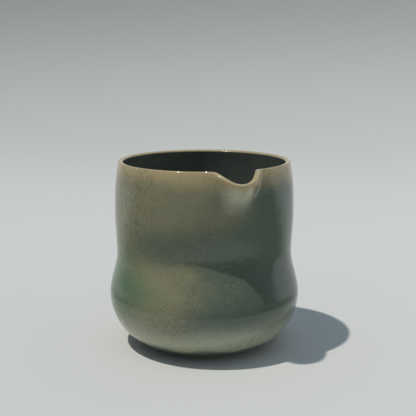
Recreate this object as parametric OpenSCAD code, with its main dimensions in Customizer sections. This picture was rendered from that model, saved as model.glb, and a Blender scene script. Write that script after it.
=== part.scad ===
// A small thrown stoneware pitcher with no handle: a soft, pressed waist, a lip pulled into
// a short spout, a low turned foot, and a coat of glaze outside, inside and over the lip.
// Z is up, the origin is the centre of the foot on the throwing axis, and the spout points
// along -Y. All sizes are in millimetres.

/* [Thrown form] */
// Height from the table to the top of the lip
height = 111.5; // [90:0.5:150]
// Outside diameter at the lip
rim_d = 102.6; // [85:0.2:124]
// Outside diameter of the shoulder, above the waist
shoulder_d = 107; // [89:0.2:130]
// Height of the shoulder
shoulder_z = 80; // [66:1:86]
// Outside diameter of the waist
waist_d = 105.2; // [88:0.2:127]
// Height of the waist
waist_z = 57; // [48:1:64]
// Outside diameter of the belly, the widest place
belly_d = 114.2; // [95:0.2:138]
// Height of the belly
belly_z = 32; // [26:1:39]
// Fullness of the curve from the belly down to the foot, where 2 is an ellipse
base_fullness = 1.95; // [1.7:0.05:2.6]

/* [Wall] */
// Thickness of the fired clay
clay_t = 2.4; // [1.8:0.1:3.2]
// Thickness of the glaze outside
glaze_t = 0.3; // [0.2:0.05:0.5]
// Thickness of the glaze inside
liner_t = 0.3; // [0.2:0.05:0.5]
// Height of the lip's own band of glaze, down both sides of the wall
lip_band = 5; // [3:0.5:7]

/* [Spout] */
// How far the spout is pulled out past the lip
spout_reach = 12.6; // [8:0.2:16]
// Width of the pull, measured round the lip
spout_w = 34; // [26:1:44]
// Height over which the wall swings out into the spout
spout_fall = 24; // [18:1:30]
// How far the pouring edge dips under the lip
spout_dip = 6; // [2:0.2:8]
// Width of the dip, measured round the lip
dip_w = 27; // [22:1:36]
// Height over which the dip fades out down the wall
dip_fall = 30; // [24:1:36]

/* [Pressed waist] */
// Depth of the press in the waist, at its fold
press_depth = 6.2; // [0:0.2:8]
// Angle from the spout to the middle of the press
press_turn = -10; // [-60:1:60]
// Angle that the press covers to each side of its middle
press_spread = 85; // [60:1:100]
// Height of the fold along the bottom of the press
press_z = 59; // [54:0.5:64]
// Height over which the press fades out above the fold
press_above = 42; // [30:1:48]
// Height over which the press fades out below the fold
press_below = 27; // [20:1:32]
// Softness of the fold
press_soft = 1.5; // [0.5:0.5:4]

/* [Foot] */
// Outside diameter of the glaze where it stops above the foot
foot_d = 66; // [54:1:80]
// Height of the glazed underside above the table
foot_h = 2.2; // [1.5:0.1:4]
// Width of the ring that the pitcher stands on
foot_w = 5; // [4:0.5:8]
// Bare clay between the edge of the glaze and the foot
foot_bare = 0.4; // [0.3:0.1:1]
// Softened corner along both edges of the foot
foot_edge = 0.6; // [0.3:0.1:0.9]

/* [Hidden] */

// Fineness of the mesh: steps round the pot, up the base, up the wall and over the lip
around = 60;
base_rows = 9;
wall_rows = 14;
lip_steps = 6;
// Degrees by which the steps round the pot are drawn in towards the spout
bunch = 34;

// Powers of the curves over the shoulder and to each side of the fold, where 1 is straight
rim_curve = 2.5;
above_fold_curve = 1.15;
below_fold_curve = 1.6;

wall_t = clay_t + glaze_t + liner_t;
wall_top = height - wall_t / 2;
band_row = base_rows + wall_rows;
top_row = band_row + 1;
rim_r = rim_d / 2;
shoulder_r = shoulder_d / 2;
waist_r = waist_d / 2;
belly_r = belly_d / 2;
foot_r = foot_d / 2;
spout_half = angle_of(spout_w / 2);
dip_half = angle_of(dip_w / 2);

// Depths under the outside surface at which one layer ends and the next begins
skin_face = 0;
clay_outside = glaze_t;
clay_inside = glaze_t + clay_t;
liner_face = wall_t;

// ---- Curves ----

function angle_of(arc) = arc / (rim_d / 2) * 180 / PI;
function clamp(t) = max(0, min(1, t));
function ease(t) = let (c = clamp(t)) c * c * (3 - 2 * c);
function bell(t) = pow(cos(90 * min(1, abs(t))), 2);
function unit(v) = v / norm(v);
// An angle brought into the range -180 to 180
function turned(a) = (a + 540) % 360 - 180;

// Radius of the wall as it was thrown, from the belly up
function thrown_r(z) =
    z < waist_z ? belly_r + (waist_r - belly_r) * ease((z - belly_z) / (waist_z - belly_z)) :
    z < shoulder_z ? waist_r + (shoulder_r - waist_r) * ease((z - waist_z) / (shoulder_z - waist_z)) :
    shoulder_r + (rim_r - shoulder_r) * pow(clamp((z - shoulder_z) / (wall_top - shoulder_z)), rim_curve);

// Radius and height of the thrown form at one row, counted from the foot
function base_point(row) = let (a = 90 * row / base_rows) [
    foot_r + (belly_r - foot_r) * pow(sin(a), 2 / base_fullness),
    belly_z - (belly_z - foot_h) * pow(cos(a), 2 / base_fullness)
];
function wall_z(row) = belly_z + (wall_top - lip_band - belly_z) * (row - base_rows) / wall_rows;
function thrown_point(row) =
    row < base_rows ? base_point(row) :
    row > band_row ? [thrown_r(wall_top), wall_top] :
    [thrown_r(wall_z(row)), wall_z(row)];

// How deep the wall is pressed at this angle and height
function press(a, z) = let (
    across = bell(turned(a - press_turn) / press_spread),
    reach = z > press_z ? press_above : press_below,
    curve = z > press_z ? above_fold_curve : below_fold_curve,
    from_fold = norm([z - press_z, press_soft]) - press_soft
) press_depth * across * pow(1 - clamp(from_fold / reach), curve);

// How far the spout is pulled out at this angle and height
function pull(a, z) = let (
    down = clamp((wall_top - z) / spout_fall),
    across = clamp(abs(turned(a)) / (spout_half * (1 - 0.35 * down)))
) spout_reach * pow(1 - pow(across, 2.6), 2) * pow(1 - down, 1.7);

// How far the wall sinks towards the pouring edge at this angle and height
function dip(a, z) = let (
    across = clamp(abs(turned(a)) / dip_half),
    up = clamp((z - wall_top + dip_fall) / dip_fall)
) spout_dip * pow(1 - across * across, 1.5) * up * up;

// ---- The outside surface as rows of points, from the foot up ----

function step_angle(i) = let (a = 360 * i / around - 180) a - bunch * sin(a);
function outside_point(row, i) = let (
    a = step_angle(i),
    p = thrown_point(row),
    r = p[0] - press(a, p[1]) + pull(a, p[1])
) [r * sin(a), -r * cos(a), p[1] - dip(a, p[1])];

outside = [for (row = [0:top_row]) [for (i = [0:around - 1]) outside_point(row, i)]];

function across_wall(row, i) = outside[row][(i + 1) % around] - outside[row][(i + around - 1) % around];
function up_wall(row, i) = outside[min(row + 1, top_row)][i] - outside[max(row - 1, 0)][i];
// The direction straight out of the wall, which is straight down on the underside
outward = [for (row = [0:top_row]) [for (i = [0:around - 1])
    row == 0 ? [0, 0, -1] : unit(cross(across_wall(row, i), up_wall(row, i)))
]];

// A ring is a rank and its points. The rank rises up the wall, over the lip and, by less than
// a row, into the wall. This is one row of the surface that lies a given depth under the outside.
function ring(row, depth) =
    [row + depth / 100, [for (i = [0:around - 1]) outside[row][i] - depth * outward[row][i]]];
function rings_up(depth, from, to) = [for (row = [from:to]) ring(row, depth)];
function rings_down(depth, from, to) = [for (row = [from:-1:to]) ring(row, depth)];

// One ring over the rounded lip, between two depths, from 0 outside to lip_steps inside
function lip_ring(from, to, step) = [top_row + step, [for (i = [0:around - 1]) let (
    out = outward[top_row][i],
    up = unit(cross(out, across_wall(top_row, i))),
    middle = outside[top_row][i] - (from + to) / 2 * out,
    a = 180 * step / lip_steps
) middle + (to - from) / 2 * (cos(a) * out + sin(a) * up)]];
function lip_over(from, to) = [for (step = [1:lip_steps - 1]) lip_ring(from, to, step)];
function lip_back(from, to) = [for (step = [lip_steps - 1:-1:1]) lip_ring(from, to, step)];

// ---- A solid skinned over rings of points ----

// The slant of the cut across each quad follows the ranks of its two rings, so that a surface
// shared by two layers is cut into the same triangles in both, whichever way each runs.
function band(s, next, rising) = [for (i = [0:around - 1]) let (
    j = (i + 1) % around,
    a = s * around + i,
    b = next * around + i,
    c = next * around + j,
    d = s * around + j
) each rising ? [[a, b, c], [a, c, d]] : [[a, b, d], [b, c, d]]];

// A vessel is capped flat at its first and last rings, and a hollow ring closes on itself
module skinned(rings, capped) {
    count = len(rings);
    last = (count - 1) * around;
    sides = [for (s = [0:capped ? count - 2 : count - 1]) let (next = (s + 1) % count)
        each band(s, next, rings[s][0] < rings[next][0])];
    caps = [[for (i = [0:around - 1]) i], [for (i = [around - 1:-1:0]) last + i]];
    polyhedron(points = [for (r = rings) each r[1]], faces = capped ? concat(sides, caps) : sides);
}

// ---- Pieces ----

// The thrown and pressed wall, its floor and the pulled spout, in fired clay
module clay_body() {
    color("#b9a98c")
    skinned(
        concat(
            rings_up(clay_outside, 0, top_row),
            lip_over(clay_outside, clay_inside),
            rings_down(clay_inside, top_row, 0)
        ),
        true
    );
}

// The turned ring that the pitcher stands on, left bare of glaze
module foot_ring() {
    foot_top = foot_h + clay_outside;
    outer = foot_r - foot_bare;
    inner = outer - foot_w;
    color("#8f7a60")
    rotate_extrude($fn = 180)
    polygon([
        [inner, foot_edge],
        [inner + foot_edge, 0],
        [outer - foot_edge, 0],
        [outer, foot_edge],
        [outer, foot_top],
        [inner, foot_top]
    ]);
}

// The coat of glaze on the outside, from the foot to the lip band
module outer_glaze() {
    color("#5f6a54")
    skinned(concat(rings_up(skin_face, 0, band_row), rings_down(clay_outside, band_row, 0)), false);
}

// The coat of glaze over the floor and up the inside to the lip band
module liner_glaze() {
    color("#3f4d44")
    skinned(concat(rings_up(clay_inside, 0, band_row), rings_down(liner_face, band_row, 0)), true);
}

// The thin band of glaze over the lip, where it breaks to tan
module rim_glaze() {
    color("#8c8264")
    skinned(
        concat(
            rings_up(skin_face, band_row, top_row),
            lip_over(skin_face, liner_face),
            rings_down(liner_face, top_row, band_row),
            rings_up(clay_inside, band_row, top_row),
            lip_back(clay_outside, clay_inside),
            rings_down(clay_outside, top_row, band_row)
        ),
        false
    );
}

clay_body();
foot_ring();
outer_glaze();
liner_glaze();
rim_glaze();
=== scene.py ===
import math

import bpy
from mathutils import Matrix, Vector


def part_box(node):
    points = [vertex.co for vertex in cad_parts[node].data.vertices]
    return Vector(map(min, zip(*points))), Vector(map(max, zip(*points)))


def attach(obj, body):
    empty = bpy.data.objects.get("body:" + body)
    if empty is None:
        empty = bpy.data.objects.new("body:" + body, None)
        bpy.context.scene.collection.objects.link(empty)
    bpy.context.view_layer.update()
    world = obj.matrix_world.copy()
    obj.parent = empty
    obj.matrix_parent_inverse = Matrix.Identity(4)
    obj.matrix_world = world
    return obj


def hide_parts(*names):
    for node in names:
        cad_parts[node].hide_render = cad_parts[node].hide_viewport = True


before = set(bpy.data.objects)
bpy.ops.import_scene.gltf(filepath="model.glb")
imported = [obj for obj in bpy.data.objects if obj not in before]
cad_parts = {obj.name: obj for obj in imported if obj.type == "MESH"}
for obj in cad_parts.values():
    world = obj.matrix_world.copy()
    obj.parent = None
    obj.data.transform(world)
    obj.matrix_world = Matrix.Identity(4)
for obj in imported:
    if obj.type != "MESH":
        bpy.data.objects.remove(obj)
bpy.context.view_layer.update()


# ---- The thrown form ------------------------------------------------------------------
# Stoneware clay, opened and raised on the wheel as a soft cylinder, bellied out low down and
# collared in at the waist. The potter then presses the waist in on one side and pulls the
# lip out into a spout. Every coat follows this one wall.

MM = 0.001

glaze_low, glaze_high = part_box("outer_glaze")
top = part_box("rim_glaze")[1].z
rim_r = 51.3 * MM
belly_r = (glaze_high.x - glaze_low.x) / 2
foot_edge_r = 33 * MM
foot_edge_z = glaze_low.z
belly_z = 32 * MM
waist_r = 52.6 * MM
waist_z = 57 * MM
shoulder_r = 53.5 * MM
shoulder_z = 80 * MM
wall = 3 * MM
lip_start = top - wall / 2
base_fullness = 1.95
rim_curve = 2.5

# How far the spout is pulled out and how far its edge dips, each over a height, and over
# degrees to each side of the spout. The pull narrows by this share down the wall.
spout_reach = 12.2 * MM
spout_fall = 24 * MM
spout_half = 19.3
spout_narrows = 0.35
spout_dip = 6 * MM
dip_half = 15.2
dip_fall = 30 * MM

# The press in the waist fades out over degrees to each side of its middle, and over a height
# above and below its fold.
press_depth = 6.2 * MM
press_turn = -10
press_spread = 85
press_z = 59 * MM
press_above = 42 * MM
press_below = 27 * MM
press_soft = 1.5 * MM
above_fold_curve = 1.15
below_fold_curve = 1.6

# Rows from the foot to the belly and on to the lip's band of glaze, and steps round the pot.
base_rows = 30
wall_rows = 58
steps_round = 240
drawn_in = math.radians(34)
lip_band = 5 * MM


def ease(t):
    t = min(1, max(0, t))
    return t * t * (3 - 2 * t)


def thrown_radius(z):
    if z < waist_z:
        return belly_r + (waist_r - belly_r) * ease((z - belly_z) / (waist_z - belly_z))
    if z < shoulder_z:
        return waist_r + (shoulder_r - waist_r) * ease((z - waist_z) / (shoulder_z - waist_z))
    up = (z - shoulder_z) / (lip_start - shoulder_z)
    return shoulder_r + (rim_r - shoulder_r) * up ** rim_curve


def thrown_profile():
    """Radius and height of the outside, from the edge of the glaze at the foot to the lip."""
    points = []
    for step in range(base_rows):
        a = math.pi / 2 * step / base_rows
        r = foot_edge_r + (belly_r - foot_edge_r) * math.sin(a) ** (2 / base_fullness)
        z = belly_z - (belly_z - foot_edge_z) * math.cos(a) ** (2 / base_fullness)
        points.append((r, z))
    for step in range(wall_rows + 1):
        z = belly_z + (top - lip_band - belly_z) * step / wall_rows
        points.append((thrown_radius(z), z))
    for z in (top - 3.6 * MM, top - 2.2 * MM, top):
        points.append((thrown_radius(z), z))
    return points


def spin_profile(name, points, steps):
    """Draws a profile from its first point, then turns it round the throwing axis."""
    bpy.ops.object.select_all(action="DESELECT")
    bpy.ops.mesh.primitive_plane_add(size=MM, location=(points[0][0], 0, points[0][1]))
    piece = bpy.context.object
    piece.name = piece.data.name = name
    bpy.ops.object.mode_set(mode="EDIT")
    bpy.ops.mesh.select_mode(type="VERT")
    bpy.ops.mesh.select_all(action="SELECT")
    bpy.ops.mesh.merge(type="CENTER")
    for (r0, z0), (r1, z1) in zip(points, points[1:]):
        move = {"value": (r1 - r0, 0, z1 - z0)}
        bpy.ops.mesh.extrude_region_move(TRANSFORM_OT_translate=move)
    bpy.ops.mesh.select_all(action="SELECT")
    bpy.ops.mesh.remove_doubles(threshold=0.002 * MM)
    bpy.ops.mesh.select_all(action="SELECT")
    bpy.ops.mesh.spin(steps=steps, angle=2 * math.pi, center=(0, 0, 0), axis=(0, 0, 1))
    bpy.ops.mesh.select_all(action="SELECT")
    bpy.ops.mesh.remove_doubles(threshold=0.002 * MM)
    bpy.ops.mesh.normals_make_consistent(inside=False)
    bpy.ops.object.mode_set(mode="OBJECT")
    bpy.ops.object.transform_apply(location=True, rotation=True, scale=True)
    return piece


def pressed_and_pulled(place):
    """Where a point of the thrown form goes when the waist is pressed and the lip is pulled.

    The steps round the pot are first drawn in towards the spout, where the shape is finest.
    """
    r = math.hypot(place.x, place.y)
    a = math.atan2(place.x, -place.y)
    a -= drawn_in * math.sin(a)
    z = place.z
    turn = math.degrees(a)
    across = min(1, abs(turn - press_turn) / press_spread)
    reach, curve = (press_above, above_fold_curve) if z > press_z else (press_below, below_fold_curve)
    away = min(1, (math.hypot(z - press_z, press_soft) - press_soft) / reach)
    r -= press_depth * math.cos(across * math.pi / 2) ** 2 * (1 - away) ** curve
    down = min(1, max(0, (lip_start - z) / spout_fall))
    across = min(1, abs(turn) / (spout_half * (1 - spout_narrows * down)))
    r += spout_reach * (1 - across ** 2.6) ** 2 * (1 - down) ** 1.7
    across = min(1, abs(turn) / dip_half)
    up = min(1, max(0, (z - lip_start + dip_fall) / dip_fall))
    z -= spout_dip * (1 - across * across) ** 1.5 * up * up
    return Vector((r * math.sin(a), -r * math.cos(a), z))


def apply_modifier(piece, kind, **settings):
    modifier = piece.modifiers.new(kind.lower(), kind)
    for key, value in settings.items():
        setattr(modifier, key, value)
    bpy.ops.object.select_all(action="DESELECT")
    piece.select_set(True)
    bpy.context.view_layer.objects.active = piece
    bpy.ops.object.modifier_apply(modifier=modifier.name)


def select_only(piece, kind, test):
    """Selects the faces or edges of a piece that a test picks, and nothing else."""
    bpy.ops.object.select_all(action="DESELECT")
    piece.select_set(True)
    bpy.context.view_layer.objects.active = piece
    bpy.ops.object.mode_set(mode="EDIT")
    bpy.ops.mesh.select_mode(type="FACE" if kind == "polygons" else "EDGE")
    bpy.ops.mesh.select_all(action="DESELECT")
    bpy.ops.object.mode_set(mode="OBJECT")
    for part in getattr(piece.data, kind):
        part.select = test(part)
    bpy.ops.object.mode_set(mode="EDIT")


def sides_by_edge(piece):
    """Which sides of the wall meet at each edge, as a list of the slots of its faces."""
    sides = {}
    for face in piece.data.polygons:
        for key in face.edge_keys:
            sides.setdefault(key, []).append(face.material_index)
    return sides


OUTSIDE, INSIDE, LIP = 0, 1, 2

pot = spin_profile("pot_wall", thrown_profile(), steps_round)
widest = max(pot.data.polygons, key=lambda f: math.hypot(f.center.x, f.center.y))
if widest.normal.dot(Vector((widest.center.x, widest.center.y, 0))) < 0:
    pot.data.flip_normals()
down_wall = pot.data.attributes.new("below_lip", "FLOAT", "POINT")
for vertex in pot.data.vertices:
    down_wall.data[vertex.index].value = (top - vertex.co.z) / MM
    vertex.co = pressed_and_pulled(vertex.co)
for side in ("outside", "inside", "lip"):
    pot.data.materials.append(bpy.data.materials.new(side))
apply_modifier(
    pot, "SOLIDIFY", thickness=wall, offset=-1, use_even_offset=True,
    material_offset=INSIDE, material_offset_rim=LIP,
)

# The lip is rounded with a wet leather, right across the wall.
sides = sides_by_edge(pot)
heights = [vertex.co.z for vertex in pot.data.vertices]
select_only(pot, "edges", lambda edge: (
    heights[edge.vertices[0]] > top / 2 and LIP in sides[edge.key] and len(set(sides[edge.key])) == 2
))
bpy.ops.mesh.bevel(offset=wall / 2 * 0.98, segments=6, profile=0.5, material=LIP, clamp_overlap=True)
bpy.ops.object.mode_set(mode="OBJECT")

# Points inside the wall are marked, for the painted shade of the well.
in_well = pot.data.attributes.new("in_well", "FLOAT", "POINT")
for face in pot.data.polygons:
    if face.material_index == INSIDE:
        for vertex in face.vertices:
            in_well.data[vertex].value = 1

# The floor of the well and the underside are flat.
select_only(pot, "polygons", lambda face: face.material_index == LIP and face.center.z < belly_z)
bpy.ops.mesh.delete(type="FACE")
bpy.ops.object.mode_set(mode="OBJECT")
for side in (OUTSIDE, INSIDE):
    sides = sides_by_edge(pot)
    select_only(pot, "edges", lambda edge: sides[edge.key] == [side])
    bpy.ops.mesh.edge_face_add()
    bpy.ops.object.mode_set(mode="OBJECT")
for face in pot.data.polygons:
    if len(face.vertices) == steps_round:
        face.material_index = INSIDE if face.normal.z > 0 else LIP


# ---- Clay body ------------------------------------------------------------------------
# The fired stoneware wall under the glaze. It shows only underneath, where the potter wiped
# the glaze away, and is a buff clay with iron specks.

glaze_thickness = 0.3 * MM


def node(tree, kind, inputs=None, **settings):
    """Adds a shader node. Each input is a value, or an output of another node."""
    made = tree.nodes.new("ShaderNode" + kind)
    for key, value in settings.items():
        setattr(made, key, value)
    for key, value in (inputs or {}).items():
        if isinstance(value, bpy.types.NodeSocket):
            tree.links.new(value, made.inputs[key])
        else:
            made.inputs[key].default_value = value
    return made


def new_material(name):
    material = bpy.data.materials.new(name)
    material.use_nodes = True
    return material, material.node_tree, material.node_tree.nodes["Principled BSDF"]


def noise(tree, place, scale, detail=3, roughness=0.5):
    made = node(tree, "TexNoise", {
        "Vector": place, "Scale": scale, "Detail": detail, "Roughness": roughness,
    })
    return made.outputs["Fac"]


def between(tree, value, low, high, start=0.0, end=1.0):
    """Runs smoothly from start to end as a value goes from low to high."""
    made = node(tree, "MapRange", {
        "Value": value, "From Min": low, "From Max": high, "To Min": start, "To Max": end,
    }, interpolation_type="SMOOTHSTEP")
    return made.outputs["Result"]


def maths(tree, operation, a, b=0.0):
    return node(tree, "Math", {0: a, 1: b}, operation=operation).outputs[0]


def mixed(tree, factor, first, second):
    """A colour between two others. In a Mix node for colours, 6 and 7 are A and B."""
    return node(tree, "Mix", {"Factor": factor, 6: first, 7: second}, data_type="RGBA").outputs[2]


def fired_clay(name, pale, toasted):
    material, tree, shader = new_material(name)
    place = node(tree, "TexCoord").outputs["Object"]
    cloud = between(tree, noise(tree, place, 45), 0.35, 0.7)
    colour = mixed(tree, cloud, pale, toasted)
    speck = between(tree, noise(tree, place, 900, 2), 0.69, 0.74)
    colour = mixed(tree, speck, colour, (0.05, 0.03, 0.02, 1))
    tree.links.new(colour, shader.inputs["Base Color"])
    shader.inputs["Roughness"].default_value = 0.82
    grain = maths(tree, "ADD", noise(tree, place, 2200, 4), noise(tree, place, 300, 2))
    bump = node(tree, "Bump", {"Height": grain, "Strength": 0.35, "Distance": 0.15 * MM})
    tree.links.new(bump.outputs["Normal"], shader.inputs["Normal"])
    return material


def copy_of(piece, name):
    bpy.ops.object.select_all(action="DESELECT")
    piece.select_set(True)
    bpy.context.view_layer.objects.active = piece
    bpy.ops.object.duplicate()
    made = bpy.context.object
    made.name = made.data.name = name
    return made


def finish_surface(piece, material):
    piece.data.materials.clear()
    piece.data.materials.append(material)
    for face in piece.data.polygons:
        face.material_index = 0
    bpy.ops.object.select_all(action="DESELECT")
    piece.select_set(True)
    bpy.context.view_layer.objects.active = piece
    bpy.ops.object.shade_smooth_by_angle(angle=math.radians(40))
    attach(piece, "root")


body = copy_of(pot, "clay_wall")
bpy.ops.object.mode_set(mode="EDIT")
bpy.ops.mesh.select_all(action="SELECT")
bpy.ops.transform.shrink_fatten(value=-glaze_thickness, use_even_offset=True)
bpy.ops.object.mode_set(mode="OBJECT")
buff_clay = fired_clay("buff_stoneware", (0.50, 0.42, 0.31, 1), (0.42, 0.31, 0.20, 1))
finish_surface(body, buff_clay)
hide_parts("clay_body")


# ---- Foot ring ------------------------------------------------------------------------
# A low ring turned from the base at leather-hardness. Its corners are softened, and it is
# wiped bare of glaze so that it doesn't stick to the kiln shelf, which toasts it browner.

foot_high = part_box("foot_ring")[1]
foot_w = 5 * MM
foot_out = foot_high.x
foot_in = foot_out - foot_w
foot_corner = 0.6 * MM
corner_steps = 4


def foot_profile():
    points = [(foot_in, foot_high.z)]
    for r, start in ((foot_in + foot_corner, 180), (foot_out - foot_corner, 270)):
        for step in range(corner_steps + 1):
            a = math.radians(start + 90 * step / corner_steps)
            points.append((r + foot_corner * math.cos(a), foot_corner + foot_corner * math.sin(a)))
    return points + [(foot_out, foot_high.z), (foot_in, foot_high.z)]


foot = spin_profile("turned_foot", foot_profile(), 180)
toasted_clay = fired_clay("toasted_stoneware", (0.36, 0.26, 0.17, 1), (0.25, 0.16, 0.09, 1))
finish_surface(foot, toasted_clay)
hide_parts("foot_ring")


# ---- Glaze outside --------------------------------------------------------------------
# Celadon, a clear green glaze that breaks to olive and tan where it is thin and goes green
# where it runs thick. It shrank more than the clay as it cooled, so it is crackled all over.
# The same recipe serves the outside, the well and the lip, so that the coats run together. Its colours
# also hold painted light and shade, named where they are mixed in.

def crackle(tree, place, cell, width):
    """A net of fine cracks: 1 in a crack and 0 in the cells between them."""
    made = node(tree, "TexVoronoi", {"Vector": place, "Scale": 1 / cell}, feature="DISTANCE_TO_EDGE")
    return between(tree, made.outputs["Distance"], 0.0, width / cell, 1.0, 0.0)


def wandering(tree, place, scale, amount):
    """The same place, pushed about by a soft noise so that straight lines bend."""
    push = node(tree, "TexNoise", {"Vector": place, "Scale": scale, "Detail": 2}).outputs["Color"]
    push = node(tree, "VectorMath", {0: push, 1: (0.5, 0.5, 0.5)}, operation="SUBTRACT").outputs[0]
    push = node(tree, "VectorMath", {0: push, "Scale": amount}, operation="SCALE").outputs[0]
    return node(tree, "VectorMath", {0: place, 1: push}, operation="ADD").outputs[0]


def flattened(tree, place, amount):
    """The same place with its height stretched, so that cells on it lie flatter."""
    return node(tree, "VectorMath", {0: place, 1: (1, 1, amount)}, operation="MULTIPLY").outputs[0]


def along(tree, place, direction):
    made = node(tree, "VectorMath", {0: place, 1: tuple(direction)}, operation="DOT_PRODUCT")
    return made.outputs["Value"]


def distance(tree, place, other):
    return node(tree, "VectorMath", {0: place, 1: other}, operation="DISTANCE").outputs["Value"]


def away_from(tree, value, middle):
    return maths(tree, "ABSOLUTE", maths(tree, "SUBTRACT", value, middle))


def times(tree, a, b):
    return maths(tree, "MULTIPLY", a, b)


def swayed(tree, value, cloud, amount):
    """A value pushed up and down by a cloud, so that an edge drawn by it is uneven."""
    return maths(tree, "ADD", value, times(tree, maths(tree, "SUBTRACT", cloud, 0.5), amount))


olive = (0.248, 0.240, 0.150, 1)
pine = (0.085, 0.165, 0.092, 1)
grey_green = (0.104, 0.135, 0.108, 1)
deep_green_and_painted_shade = (0.105, 0.142, 0.108, 1)
pale_glaze_and_painted_light = (0.430, 0.450, 0.320, 1)
clay_tan = (0.50, 0.39, 0.22, 1)
shaded_well = (0.120, 0.135, 0.118, 1)
crack_colour = (0.030, 0.040, 0.026, 1)

# The side where the glaze gathers in the fold, where shade is also painted; the olive side to its left,
# which faces the lamp and is partly painted light; and the place under the spout's edge, where light is
# painted.
glaze_turn = math.radians(-19.6)
fold_side = Vector((math.sin(glaze_turn), -math.cos(glaze_turn), 0))
olive_side = Vector((-math.cos(glaze_turn), -math.sin(glaze_turn), 0))
under_spout = (0, -62 * MM, 98.5 * MM)


def celadon_colour(tree, place, height, cloud):
    """Olive high up on the lamp's side, greener elsewhere, paler above the foot and under the spout, and a
    deeper green above the fold. The olive and the pale places are partly painted light; the grey-green and
    the deeper green are partly painted shade.
    """
    turned = along(tree, place, olive_side + fold_side * 0.2)
    turned = maths(tree, "ADD", turned, times(tree, maths(tree, "SUBTRACT", height, 62 * MM), 0.55))
    turned = swayed(tree, turned, cloud, 70 * MM)
    # The olive side faces the lamp. Its olive is partly the glaze's own colour and partly painted light,
    # and the grey-green turned away from the lamp is partly painted shade.
    colour = mixed(tree, between(tree, turned, -22 * MM, 34 * MM), grey_green, olive)

    # A green flush low on the olive side.
    flush = times(tree, away_from(tree, height, 42 * MM), 0.9)
    flush = maths(tree, "SUBTRACT", along(tree, place, olive_side), flush)
    flush = maths(tree, "ADD", flush, times(tree, cloud, 22 * MM))
    colour = mixed(tree, between(tree, flush, 26 * MM, 58 * MM, 0.0, 0.85), colour, pine)

    # It gathers above the fold, and greens there. This deeper green is partly gathered glaze and partly
    # painted shade of the fold.
    from_fold = maths(tree, "ADD", away_from(tree, height, 68 * MM), times(tree, cloud, 9 * MM))
    facing = between(tree, along(tree, place, fold_side), 20 * MM, 48 * MM)
    fold_gathering_and_painted_shade = times(tree, between(tree, from_fold, 7 * MM, 21 * MM, 0.75, 0.0), facing)
    colour = mixed(tree, fold_gathering_and_painted_shade, colour, deep_green_and_painted_shade)

    # It runs down and gathers paler above the foot, and pales under the spout's edge, where the spout
    # thinned it. Both pale places are partly painted light: a painted reflection of the lit floor above
    # the foot, and painted light on the spout.
    swayed_height = swayed(tree, height, cloud, 8 * MM)
    above_foot = between(tree, swayed_height, 6 * MM, 10 * MM)
    gathered_and_painted_reflection = times(tree, between(tree, swayed_height, 30 * MM, 14 * MM), above_foot)
    colour = mixed(tree, times(tree, gathered_and_painted_reflection, 0.85), colour, pale_glaze_and_painted_light)
    thinned_and_painted_light = between(tree, distance(tree, place, under_spout), 4 * MM, 14 * MM, 0.85, 0.0)
    return mixed(tree, thinned_and_painted_light, colour, pale_glaze_and_painted_light)


def cracks(tree, place):
    """Two nets of cracks, one inside the other, more open in some places than in others."""
    wide = crackle(tree, flattened(tree, wandering(tree, place, 220, 2.2 * MM), 1.5), 5.2 * MM, 0.36 * MM)
    fine = crackle(tree, flattened(tree, wandering(tree, place, 400, 1.2 * MM), 1.35), 2.4 * MM, 0.26 * MM)
    net = maths(tree, "MAXIMUM", times(tree, wide, 0.7), times(tree, fine, 0.6))
    opened = between(tree, noise(tree, place, 30, 2), 0.40, 0.62)
    return times(tree, net, maths(tree, "ADD", times(tree, opened, 0.6), 0.3))


def celadon(name):
    material, tree, shader = new_material(name)
    place = node(tree, "TexCoord").outputs["Object"]
    height = node(tree, "SeparateXYZ", {0: place}).outputs["Z"]
    cloud = noise(tree, wandering(tree, place, 60, 18 * MM), 38, 4, 0.55)
    colour = celadon_colour(tree, place, height, cloud)

    # The well is painted darker, as painted shade.
    in_well = node(tree, "Attribute", attribute_name="in_well").outputs["Fac"]
    colour = mixed(tree, times(tree, in_well, 0.93), colour, shaded_well)

    # Thin over the lip, it lets the tan of the clay through. This attribute is in millimetres.
    below_lip = node(tree, "Attribute", attribute_name="below_lip").outputs["Fac"]
    fade = between(tree, swayed(tree, below_lip, cloud, 14), 0.4, 13, 0.8, 0.0)
    fade = maths(tree, "ADD", fade, between(tree, below_lip, 1.2, 2.6, 0.4, 0.0))
    fade = times(tree, fade, maths(tree, "SUBTRACT", 1.0, in_well))
    colour = mixed(tree, maths(tree, "MINIMUM", fade, 0.9), colour, clay_tan)

    net = cracks(tree, place)
    colour = mixed(tree, times(tree, net, 0.55), colour, crack_colour)
    tree.links.new(colour, shader.inputs["Base Color"])
    waves = maths(tree, "ADD", noise(tree, place, 130, 2), times(tree, net, -0.25))
    bump = node(tree, "Bump", {"Height": waves, "Strength": 0.5, "Distance": 0.25 * MM})
    tree.links.new(bump.outputs["Normal"], shader.inputs["Normal"])
    shader.inputs["Roughness"].default_value = 0.1
    shader.inputs["IOR"].default_value = 1.52
    return material


def coat_of(name, keep):
    """A coat of glaze on the faces of the wall that a test keeps, sunk into the wall."""
    coat = copy_of(pot, name)
    depths = [point.value for point in coat.data.attributes["below_lip"].data]
    select_only(coat, "polygons", lambda face: not keep(face, [depths[v] for v in face.vertices]))
    bpy.ops.mesh.delete(type="FACE")
    bpy.ops.object.mode_set(mode="OBJECT")
    apply_modifier(coat, "SOLIDIFY", thickness=glaze_thickness, offset=-1, use_even_offset=True)
    return coat


band = lip_band / MM
hair = 0.01

outer = coat_of("glaze_outside", lambda face, depths: (
    face.material_index == OUTSIDE and min(depths) > band - hair
))
finish_surface(outer, celadon("celadon_outside"))
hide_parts("outer_glaze")


# ---- Glaze inside ---------------------------------------------------------------------
# The same celadon, poured in and out again before the outside was dipped. It is painted darker here, as
# painted shade.

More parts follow.
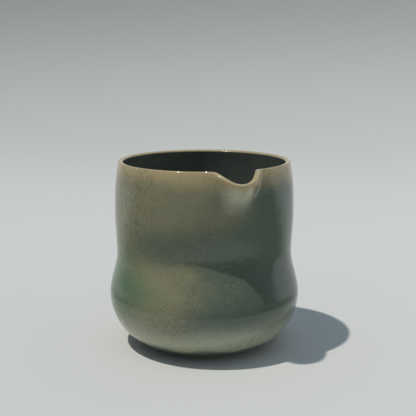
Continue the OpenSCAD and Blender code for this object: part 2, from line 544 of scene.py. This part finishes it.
liner = coat_of("glaze_inside", lambda face, depths: (
    face.material_index == INSIDE and min(depths) > band - hair
))
finish_surface(liner, celadon("celadon_inside"))
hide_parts("liner_glaze")


# ---- Glaze over the lip ---------------------------------------------------------------
# On the lip the glaze runs off and leaves a thin skin, tan over the clay beneath it.

rim = coat_of("glaze_over_lip", lambda face, depths: (
    max(depths) < band + hair and face.center.z > belly_z
))
finish_surface(rim, celadon("celadon_lip"))
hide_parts("rim_glaze")

bpy.data.objects.remove(pot)


# ---- Camera ---------------------------------------------------------------------------
# A short telephoto lens half a metre away, a little above the lip and turned to the left of
# the spout, so that the spout shows to the right of the middle.

camera_turn = math.radians(-19.6)
camera_distance = 490 * MM
camera_height = 176 * MM
camera_pitch = math.radians(10.85)
toward_camera = Vector((math.sin(camera_turn), -math.cos(camera_turn), 0))
to_the_right = Vector((math.cos(camera_turn), math.sin(camera_turn), 0))

bpy.ops.object.select_all(action="DESELECT")
bpy.ops.object.camera_add(
    location=toward_camera * camera_distance + Vector((0, 0, camera_height)),
    rotation=(math.pi / 2 - camera_pitch, 0, camera_turn),
)
camera = bpy.context.object
camera.name = "camera"
camera.data.sensor_width = 36
camera.data.lens = 71.8
camera.data.shift_x = 0.009
bpy.context.scene.camera = camera


# ---- Floor and light ------------------------------------------------------------------
# A pale sweep that rises to a wall all round, one soft-edged lamp high on the left, and a cool sky. To the
# camera the sweep is painted greyer far off and up the wall, as painted shade. To gloss alone, the floor
# goes dark a hand's width in front of the pitcher, as if it stood in a pool of light.

floor_r = 0.9
sweep_r = 0.9
wall_height = 2.2
sweep_steps = 16
pale = (0.66, 0.66, 0.65, 1)
far_floor_painted_shade = (0.50, 0.51, 0.50, 1)
high_wall_painted_shade = (0.33, 0.345, 0.34, 1)
past_the_light = (0.06, 0.07, 0.07, 1)


def sweep_profile():
    points = [(0, 0), (floor_r, 0)]
    for step in range(1, sweep_steps + 1):
        a = math.pi / 2 * step / sweep_steps
        points.append((floor_r + sweep_r * math.sin(a), sweep_r * (1 - math.cos(a))))
    return points + [(floor_r + sweep_r, wall_height)]


floor = spin_profile("floor", sweep_profile(), 128)
bpy.ops.object.shade_smooth()
material, tree, shader = new_material("pale_floor")
place = node(tree, "TexCoord").outputs["Object"]
height = node(tree, "SeparateXYZ", {0: place}).outputs["Z"]
in_front = along(tree, place, toward_camera)
from_axis = node(tree, "VectorMath", {0: place}, operation="LENGTH").outputs["Value"]
unlit = times(tree, between(tree, from_axis, 0.135, 0.165), between(tree, in_front, -0.15, 0.0))
# Painted shade: to the camera the floor greys far off, and the wall greys higher up.
seen = mixed(tree, between(tree, in_front, -0.2, -1.3), pale, far_floor_painted_shade)
seen = mixed(tree, between(tree, height, 0.0, 0.36), seen, high_wall_painted_shade)
mirrored = mixed(tree, unlit, pale, past_the_light)
rays = node(tree, "LightPath").outputs
colour = mixed(tree, rays["Is Camera Ray"], pale, seen)
colour = mixed(tree, rays["Is Glossy Ray"], colour, mirrored)
tree.links.new(colour, shader.inputs["Base Color"])
shader.inputs["Roughness"].default_value = 0.9
floor.data.materials.append(material)

sun_from = to_the_right * -0.345 + toward_camera * 0.145 + Vector((0, 0, 0.927))
bpy.ops.object.light_add(type="SUN", location=(0, 0, 1))
sun = bpy.context.object
sun.name = "key_lamp"
sun.rotation_euler = sun_from.to_track_quat("Z", "Y").to_euler()
sun.data.energy = 2.2
sun.data.angle = math.radians(1.5)
sun.data.color = (1.0, 0.955, 0.88)

world = bpy.data.worlds.new("sky")
bpy.context.scene.world = world
world.use_nodes = True
sky = world.node_tree.nodes["Background"]
sky.inputs["Color"].default_value = (0.50, 0.76, 1.0, 1)
sky.inputs["Strength"].default_value = 0.42

bpy.context.scene.view_settings.view_transform = "Standard"
